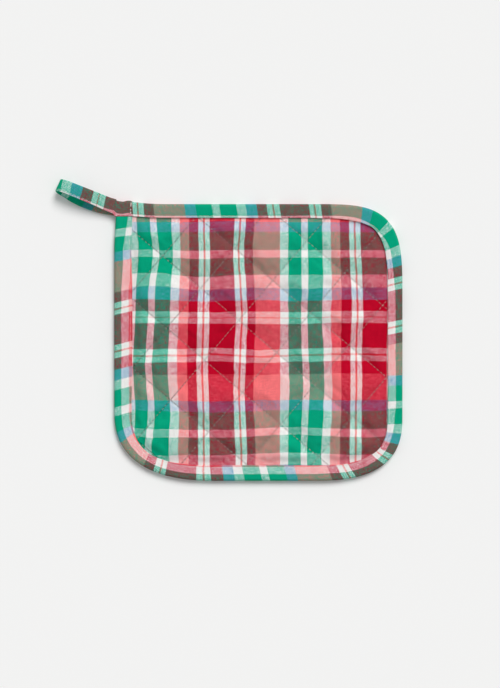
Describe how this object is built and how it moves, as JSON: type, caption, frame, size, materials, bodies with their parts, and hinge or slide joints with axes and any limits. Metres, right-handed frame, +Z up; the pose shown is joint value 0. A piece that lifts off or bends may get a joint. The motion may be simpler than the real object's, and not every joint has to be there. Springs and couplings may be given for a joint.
{
  "type": "pot holder",
  "caption": "Quilted square plaid cotton pot holder with rounded corners, a bound edge and a hanging loop at one corner.",
  "frame": {"origin": "under the middle of the pad, on the plane it rests on", "axes": "+Z up out of the pad's face, +Y towards the bound side that runs into the loop, +X away from the loop"},
  "size_m": [0.2406, 0.2089, 0.0115],
  "materials": {
    "panel_cloth": "plaid plain-weave cotton in red, coral, green, white and blue, quilted, matte",
    "strip_cloth": "the same plaid cotton cut so that its green and white stripes run along the strip, matte",
    "sewing_thread": "pale grey-green cotton sewing thread, matte"
  },
  "bodies": {
    "root": {"quilted_panel": "panel_cloth", "binding": "strip_cloth", "hanging_loop": "strip_cloth"}
  },
  "joints": []
}
